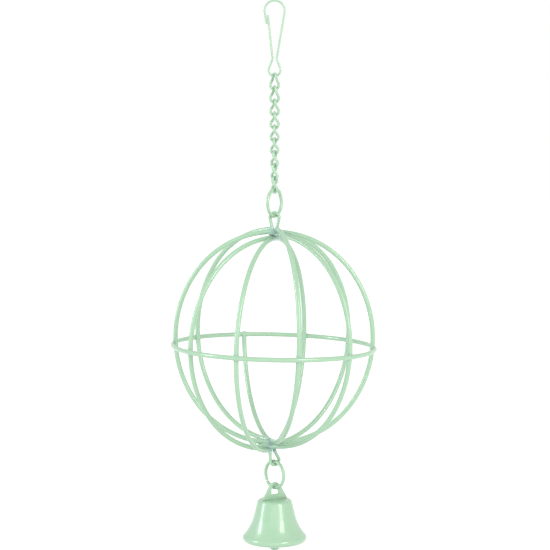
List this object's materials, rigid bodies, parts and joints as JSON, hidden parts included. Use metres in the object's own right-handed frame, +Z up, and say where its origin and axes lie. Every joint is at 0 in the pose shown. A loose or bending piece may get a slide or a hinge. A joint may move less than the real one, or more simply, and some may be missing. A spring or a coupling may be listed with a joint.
{
  "type": "hanging hay ball",
  "caption": "Open ball of welded wire for hay, hung on a twisted-link chain with a snap hook, with a bell below.",
  "frame": {"origin": "centre of the snap hook's bow, where the bar that it hangs from passes through", "axes": "+Z up along the hanging line, -Y towards the front, the hook's plane is XZ"},
  "size_m": [0.1021, 0.102, 0.2745],
  "materials": {
    "mint_coat": "glossy mint-green coating over steel wire and sheet"
  },
  "bodies": {
    "hook": {"hook_wire_form": "mint_coat"},
    "gate": {"hook_gate": "mint_coat"},
    "link_1": {"chain_link_1": "mint_coat"},
    "link_2": {"chain_link_2": "mint_coat"},
    "link_3": {"chain_link_3": "mint_coat"},
    "link_4": {"chain_link_4": "mint_coat"},
    "link_5": {"chain_link_5": "mint_coat"},
    "link_6": {"chain_link_6": "mint_coat"},
    "link_7": {"chain_link_7": "mint_coat"},
    "link_8": {"chain_link_8": "mint_coat"},
    "link_9": {"chain_link_9": "mint_coat"},
    "upper_ring": {"upper_ring": "mint_coat"},
    "ball": {"top_eye": "mint_coat", "side_hoop": "mint_coat", "cross_hoop": "mint_coat", "rib_front_left": "mint_coat", "rib_front_right": "mint_coat", "rib_right_front": "mint_coat", "rib_right_back": "mint_coat", "rib_left_back": "mint_coat", "short_rib_back": "mint_coat", "belt_ring": "mint_coat", "bottom_eye": "mint_coat"},
    "lower_ring": {"lower_ring": "mint_coat"},
    "bell": {"bell_shell": "mint_coat", "bell_hanger": "mint_coat"},
    "clapper": {"clapper_rod": "mint_coat", "clapper_ball": "mint_coat"}
  },
  "joints": [
    {"name": "gate_spring", "type": "hinge", "parent": "hook", "child": "gate", "pos_m": [-0.001, 0, -0.0234], "axis": [0, 1, 0], "range_deg": [0, 12], "stiffness_Nm_per_rad": 0.3},
    {"name": "link_1_swing", "type": "hinge", "parent": "hook", "child": "link_1", "pos_m": [0, 0, -0.0288], "axis": [0, 1, 0], "range_deg": [-30, 30]},
    {"name": "link_2_swing", "type": "hinge", "parent": "link_1", "child": "link_2", "pos_m": [0, 0, -0.03878], "axis": [0.9511, 0.309, 0], "range_deg": [-30, 30]},
    {"name": "link_3_swing", "type": "hinge", "parent": "link_2", "child": "link_3", "pos_m": [0, 0, -0.0424], "axis": [-0.1219, -0.9925, 0], "range_deg": [-30, 30]},
    {"name": "link_4_swing", "type": "hinge", "parent": "link_3", "child": "link_4", "pos_m": [0, 0, -0.05138], "axis": [-0.9976, -0.0698, 0], "range_deg": [-30, 30]},
    {"name": "link_5_swing", "type": "hinge", "parent": "link_4", "child": "link_5", "pos_m": [0, 0, -0.055], "axis": [0.3584, 0.9336, 0], "range_deg": [-30, 30]},
    {"name": "link_6_swing", "type": "hinge", "parent": "link_5", "child": "link_6", "pos_m": [0, 0, -0.06398], "axis": [0.9848, -0.1736, 0], "range_deg": [-30, 30]},
    {"name": "link_7_swing", "type": "hinge", "parent": "link_6", "child": "link_7", "pos_m": [0, 0, -0.0676], "axis": [-0.5736, -0.8192, 0], "range_deg": [-30, 30]},
    {"name": "link_8_swing", "type": "hinge", "parent": "link_7", "child": "link_8", "pos_m": [0, 0, -0.07658], "axis": [-0.9135, 0.4067, 0], "range_deg": [-30, 30]},
    {"name": "link_9_swing", "type": "hinge", "parent": "link_8", "child": "link_9", "pos_m": [0, 0, -0.0802], "axis": [0.7547, 0.6561, 0], "range_deg": [-30, 30]},
    {"name": "upper_ring_swing", "type": "hinge", "parent": "link_9", "child": "upper_ring", "pos_m": [0, 0, -0.0865], "axis": [0.829, 0.5592, 0], "range_deg": [-35, 35]},
    {"name": "ball_swing", "type": "hinge", "parent": "upper_ring", "child": "ball", "pos_m": [0, 0, -0.10078], "axis": [0.2588, 0.9659, 0], "range_deg": [-30, 30]},
    {"name": "lower_ring_swing", "type": "hinge", "parent": "ball", "child": "lower_ring", "pos_m": [0, 0, -0.22179], "axis": [-0.342, 0.9397, 0], "range_deg": [-35, 35]},
    {"name": "bell_swing", "type": "hinge", "parent": "lower_ring", "child": "bell", "pos_m": [0, 0, -0.22899], "axis": [0.7314, 0.682, 0], "range_deg": [-35, 35]},
    {"name": "clapper_swing", "type": "hinge", "parent": "bell", "child": "clapper", "pos_m": [0, 0, -0.24517], "axis": [-0.5736, 0.8192, 0], "range_deg": [-32, 32]}
  ]
}
